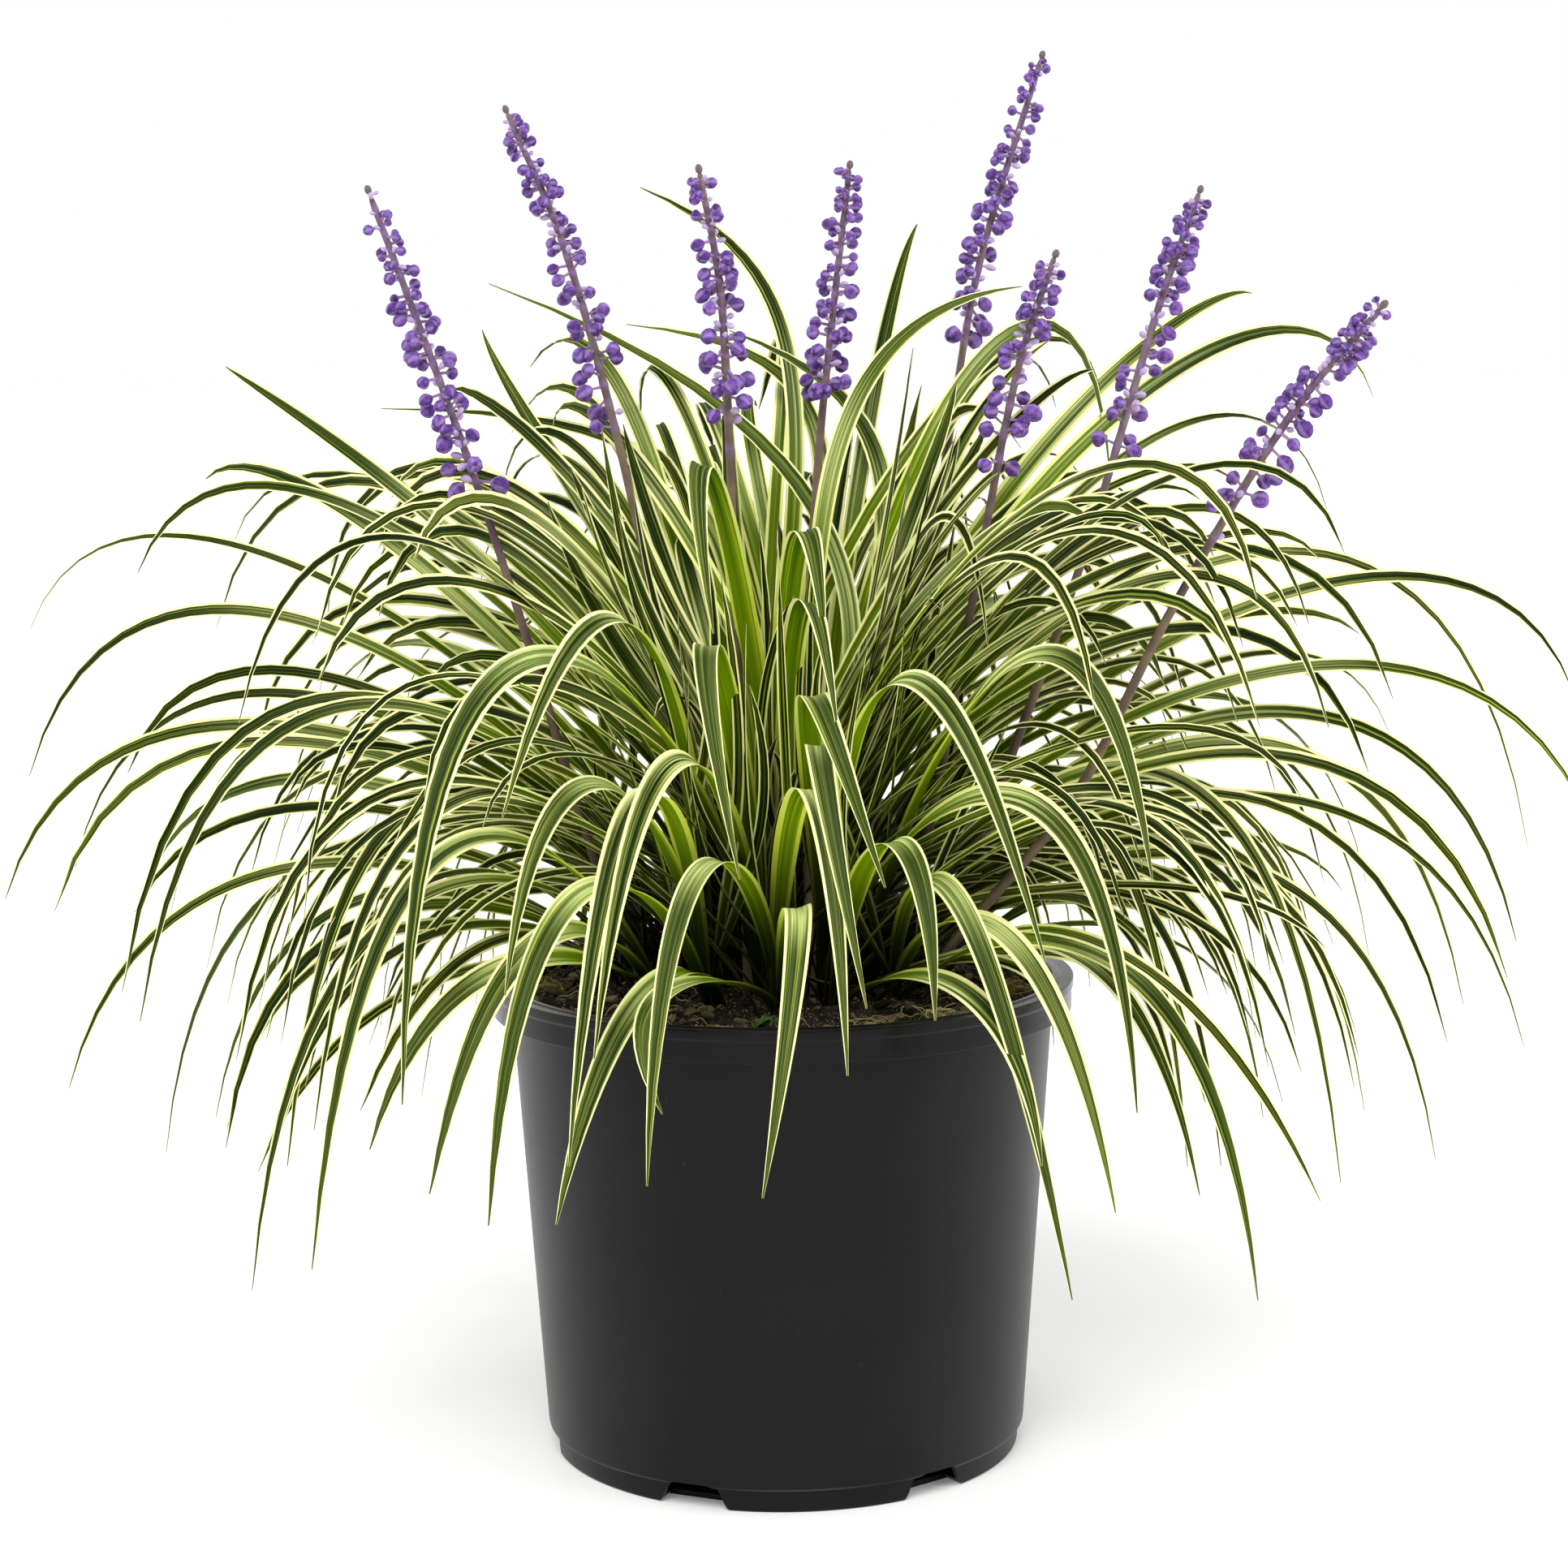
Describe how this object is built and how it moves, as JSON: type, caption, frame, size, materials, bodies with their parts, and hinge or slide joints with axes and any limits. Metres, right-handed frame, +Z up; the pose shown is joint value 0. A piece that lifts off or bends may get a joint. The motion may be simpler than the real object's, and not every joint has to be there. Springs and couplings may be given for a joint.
{
  "type": "potted liriope",
  "caption": "Clump of striped strap-leaved liriope with violet flower spikes, growing in a round black nursery pot of potting mix that stands on its flat base.",
  "frame": {"origin": "centre of the pot's flat underside, where it rests on the ground", "axes": "+Z up along the pot's axis; +X to the right and -Y towards the viewer in the front view"},
  "size_m": [0.7596, 0.5585, 0.6693],
  "materials": {
    "pot_plastic": "matt moulded, slightly glossier on the rim",
    "potting_mix": "dark damp bark and peat mix with tan fibres",
    "leaf": "satin, green with fine veins and cream yellow margins",
    "stem": "satin, purple brown",
    "flower": "soft matt violet"
  },
  "bodies": {
    "root": {"nursery_pot": "pot_plastic", "potting_mix": "potting_mix", "leaf_shoot_01": "leaf", "leaf_shoot_02": "leaf", "leaf_shoot_03": "leaf", "leaf_shoot_04": "leaf", "leaf_shoot_05": "leaf", "leaf_shoot_06": "leaf", "leaf_shoot_07": "leaf", "leaf_shoot_08": "leaf", "leaf_shoot_09": "leaf", "leaf_shoot_10": "leaf", "leaf_shoot_11": "leaf", "leaf_shoot_12": "leaf", "leaf_shoot_13": "leaf", "leaf_shoot_14": "leaf", "leaf_shoot_15": "leaf", "leaf_shoot_16": "leaf", "leaf_shoot_17": "leaf", "leaf_shoot_18": "leaf", "leaf_shoot_19": "leaf", "leaf_shoot_20": "leaf", "leaf_shoot_21": "leaf", "leaf_shoot_22": "leaf", "leaf_shoot_23": "leaf", "leaf_shoot_24": "leaf", "leaf_shoot_25": "leaf", "flower_stem_1": "stem", "flower_cluster_1": "flower", "flower_stem_2": "stem", "flower_cluster_2": "flower", "flower_stem_3": "stem", "flower_cluster_3": "flower", "flower_stem_4": "stem", "flower_cluster_4": "flower", "flower_stem_5": "stem", "flower_cluster_5": "flower", "flower_stem_6": "stem", "flower_cluster_6": "flower", "flower_stem_7": "stem", "flower_cluster_7": "flower", "flower_stem_8": "stem", "flower_cluster_8": "flower"}
  },
  "joints": []
}
